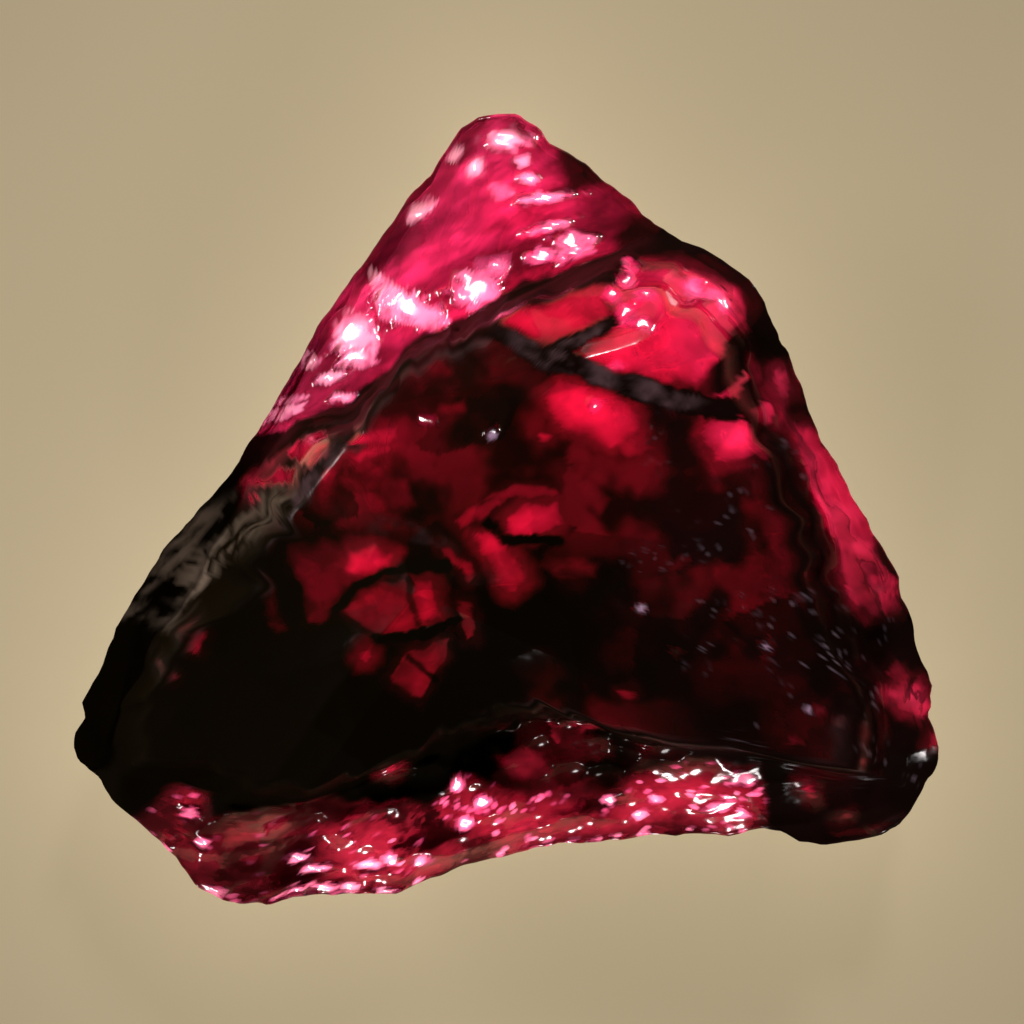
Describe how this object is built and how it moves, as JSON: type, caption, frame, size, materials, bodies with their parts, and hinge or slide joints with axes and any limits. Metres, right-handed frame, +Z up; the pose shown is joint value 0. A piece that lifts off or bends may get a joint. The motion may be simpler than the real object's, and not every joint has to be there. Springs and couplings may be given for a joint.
{
  "type": "painite crystal",
  "caption": "Rough triangular crystal of deep red painite with a thin plate edge, a broken thick body and a flat face it rests on.",
  "frame": {"origin": "on the plane the crystal rests on, below the middle of its bounding box", "axes": "+Z up through the broad broken front, +Y towards the narrow end, +X to the right seen from the front"},
  "size_m": [0.015, 0.014, 0.0062],
  "materials": {
    "painite": "glassy broken faces with patches of dull dark skin"
  },
  "bodies": {
    "root": {"crystal": "painite"}
  },
  "joints": []
}
